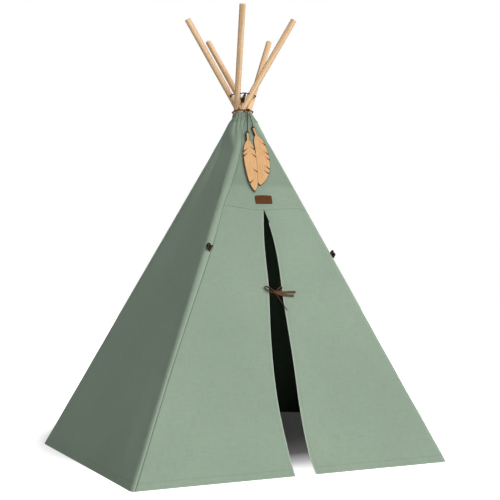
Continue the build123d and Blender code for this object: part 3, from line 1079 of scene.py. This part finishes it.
def ply_materials(word, origin, across, up, length, bow):
    """Pale ply face with a burnt-in quill and barbs, and the burnt edge."""
    face, tree, shader = new_material(f"ply_{word}")
    from_origin = vector_maths(tree, "SUBTRACT", object_place(tree), origin)
    x = vector_maths(tree, "DOT_PRODUCT", from_origin, across)
    y = vector_maths(tree, "DOT_PRODUCT", from_origin, up)
    flat = node(tree, "CombineXYZ", i0=x, i1=y).outputs[0]
    fibres = speckle(tree, scaled(tree, flat, (330.0, 14.0, 1.0)), 1.0, 4.0)
    cloud = speckle(tree, flat, 28.0, 2.0)
    colour = mix(tree, tones(tree, fibres, 0.35, 0.0, 0.7, 1.0), (0.76, 0.455, 0.215), (0.62, 0.345, 0.150))
    colour = wash(tree, 0.6, colour, cloud, 0.3, 0.88, 0.7, 1.06)
    bend = maths(tree, "SINE", times(tree, y, -pi / length))
    x = maths(tree, "SUBTRACT", x, times(tree, bend, bow))
    quill = line_mask(tree, x, 0.0, 0.0014)
    colour = mix(tree, times(tree, quill, 0.45), colour, (0.20, 0.09, 0.035))
    slant = maths(tree, "ADD", y, times(tree, maths(tree, "ABSOLUTE", x), -1.15))
    barbs = times(tree, dashes(tree, slant, 0.0052, 0.93), 0.16)
    colour = mix(tree, barbs, colour, (0.24, 0.11, 0.045))
    finish(tree, shader, colour, tones(tree, fibres, 0.3, 0.5, 0.7, 0.68), 0.2, fibres, 0.25, 0.0003)

    burnt, tree, shader = new_material(f"burnt_{word}")
    soot = speckle(tree, object_place(tree), 420.0, 4.0)
    colour = mix(tree, tones(tree, soot, 0.35, 0.0, 0.7, 1.0), (0.035, 0.016, 0.008), (0.12, 0.052, 0.020))
    finish(tree, shader, colour, tones(tree, soot, 0.3, 0.7, 0.7, 0.9), 0.5, soot, 0.4, 0.0003)
    return face, burnt


def feather_squash(piece):
    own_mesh(piece)


def make_feather(word):
    """The CAD feather's own outline, with a burnt rim inset on both faces."""
    x, z, lift, lean, length, bow = FEATHERS[word]
    origin = front_point(x, z, lift)
    across, up = feather_axes(lean)
    face, burnt = ply_materials(word, origin, across, up, length, bow)
    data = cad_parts[f"feather_{word}"].data.copy()
    data.name = f"feather_ply_{word}"
    data.materials.clear()
    data.materials.append(face)
    data.materials.append(burnt)
    shape = bmesh.new()
    shape.from_mesh(data)
    bmesh.ops.remove_doubles(shape, verts=shape.verts, dist=1e-5)
    bmesh.ops.recalc_face_normals(shape, faces=shape.faces)
    for f in shape.faces:
        f.material_index = int(abs(f.normal.dot(FRONT_OUT)) < 0.7)
    flats = [f for f in shape.faces if f.material_index == 0]
    rim = bmesh.ops.inset_region(
        shape, faces=flats, thickness=BURNT_RIM, use_even_offset=True, use_boundary=True
    )
    for f in rim["faces"]:
        f.material_index = 1
    for f in shape.faces:
        f.smooth = False
    shape.to_mesh(data)
    shape.free()
    feather = add_object(f"feather_ply_{word}", data)
    body = "feather_front" if word == "left" else "feather_behind"
    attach(feather, body)
    feather_squash(feather)
    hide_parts(f"feather_{word}")

    start = Vector((NECK_KNOT_X + 0.2 * (x - NECK_KNOT_X), FEATHER_PIVOT[1], FEATHER_PIVOT[2]))
    end = front_point(x, z + 0.005, lift + FEATHER_THICKNESS + FEATHER_CORD / 2 + 0.0003)
    middle = start + (end - start) * 0.45 + Vector((0, -0.0025, 0))
    line = nurbs_line([start, middle, end])
    string = mesh_object(f"feather_string_{word}", *tube(line, FEATHER_CORD / 2, 10), dark_cord)
    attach(string, body)
    feather_squash(string)
    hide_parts(f"feather_cord_{word}")

    # the cord's hitch round the quill: down the left side of the stem and through the hole
    wrap = []
    for lx, ly, lz in millimetres(
        ((0, 5, 4.5), (-4, 1, 5), (-6.2, -8, 4.6), (-6.4, -22, 4.4), (-6.4, -36, 3.6))
    ):
        lx += bow * sin(-pi * ly / length)
        wrap.append(origin + across * lx + up * ly + FRONT_OUT * lz)
    hitch_line = nurbs_line(wrap)
    band = []
    for k in range(28):
        a = 2 * pi * k / 28
        round_stem = across * 0.0053 * cos(a) + up * (0.0018 * sin(a) - 0.0005)
        band.append(origin + round_stem + FRONT_OUT * (0.0015 + 0.0028 * sin(a)))
    points, faces = joined(tube(hitch_line, 0.0019, 8), tube(band, 0.0013, 8, closed=True))
    hitch = mesh_object(f"feather_hitch_{word}", points, faces, dark_cord)
    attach(hitch, body)
    feather_squash(hitch)


for feather_word in FEATHERS:
    make_feather(feather_word)


# --- poles and lashing: CAD nodes with their own finish ---
def finish_node(node_name, material):
    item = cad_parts[node_name]
    item.data.materials.clear()
    item.data.materials.append(material)


for index, (corner_name, corner_azimuth) in enumerate(CORNERS.items()):
    wood = wood_material(
        f"pine_{corner_name}", waist_point(corner_azimuth), pole_direction(corner_azimuth).normalized(),
        (0.88, 0.61, 0.37), (0.70, 0.43, 0.22), 0.31 * (index + 1),
    )
    finish_node(f"pole_{corner_name}", wood)

finish_node("lashing_rope", dark_cord)


def make_lashing_knot():
    """The two ends of the lashing rope, knotted together a little below it."""
    low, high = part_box("lashing_knot")
    top = Vector(((low[0] + high[0]) / 2, (low[1] + high[1]) / 2, high[2] - 0.004))
    centre = top + Vector((-0.011, 0.0, -0.024))
    line = [centre + p for p in knot_line(0.0072)]
    parts = [tube(line, 0.0030, 9, closed=True)]
    for offset, drop in ((-0.004, 0.013), (0.005, 0.010)):
        strand = nurbs_line([
            top, (top + centre) / 2 + Vector((offset, -0.001, 0)), centre,
            centre + Vector((offset, -0.001, -drop)),
        ])
        parts.append(tube(strand, 0.0026, 9))
    points, faces = joined(*parts)
    knot = mesh_object("lashing_tie", points, faces, dark_cord)
    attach(knot, "canopy")
    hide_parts("lashing_knot")


make_lashing_knot()


# --- stage ---
def make_stage():
    """A white floor with a painted glow seen only by the camera: faint inside the tent, where it stands in
    for light coming in, and full white away from it, so only a soft shadow round the tent's foot is left.
    """
    data = bpy.data.meshes.new("floor")
    reach = 60.0
    corners = [(x * reach, y * reach, 0) for x, y in ((-1, -1), (1, -1), (1, 1), (-1, 1))]
    data.from_pydata(corners, [], [(0, 1, 2, 3)])
    floor = add_object("floor", data)
    material, tree, shader = new_material("floor_paint")
    place = object_place(tree)
    haze = speckle(tree, place, 2.0, 2.0)
    tree.links.new(tones(tree, haze, 0.3, 0.95, 0.7, 0.97), shader.inputs["Base Color"])
    shader.inputs["Roughness"].default_value = 0.9
    shader.inputs["Specular IOR Level"].default_value = 0.1
    away = vector_maths(tree, "DISTANCE", place, (0.0, 0.30, 0.0))
    # painted glow, seen only by the camera: faint inside the tent, full white away from it
    painted_glow = ramp(
        tree, away, (0.10, grey(0.025)), (0.40, grey(0.030)), (0.62, grey(0.08)), (0.74, grey(0.42)),
        (0.84, grey(0.95)),
    )
    seen = node(tree, "LightPath").outputs["Is Camera Ray"]
    shader.inputs["Emission Color"].default_value = (1, 1, 1, 1)
    tree.links.new(times(tree, painted_glow, seen), shader.inputs["Emission Strength"])
    data.materials.append(material)


def add_sun(name, towards, strength, angle):
    light = bpy.data.lights.new(name, "SUN")
    light.energy = strength
    light.angle = radians(angle)
    lamp = add_object(name, light)
    lamp.rotation_mode = "QUATERNION"
    lamp.rotation_quaternion = Vector(towards).to_track_quat("Z", "Y")


def make_world():
    world = bpy.data.worlds.new("studio")
    scene.world = world
    world.use_nodes = True
    tree = world.node_tree
    soft = tree.nodes["Background"]
    soft.inputs["Color"].default_value = (1, 1, 1, 1)
    soft.inputs["Strength"].default_value = 0.17
    seen = node(tree, "Background", Color=(1, 1, 1, 1), Strength=1.0)
    path = node(tree, "LightPath")
    choice = node(
        tree, "MixShader",
        i0=path.outputs["Is Camera Ray"], i1=soft.outputs[0], i2=seen.outputs[0],
    )
    tree.links.new(choice.outputs[0], tree.nodes["World Output"].inputs["Surface"])


make_stage()
add_sun("key", (0.46, -0.80, 0.40), 2.75, 50)
add_sun("overhead", (0.1, -0.05, 1.0), 0.30, 60)
make_world()
scene.view_settings.view_transform = "Standard"
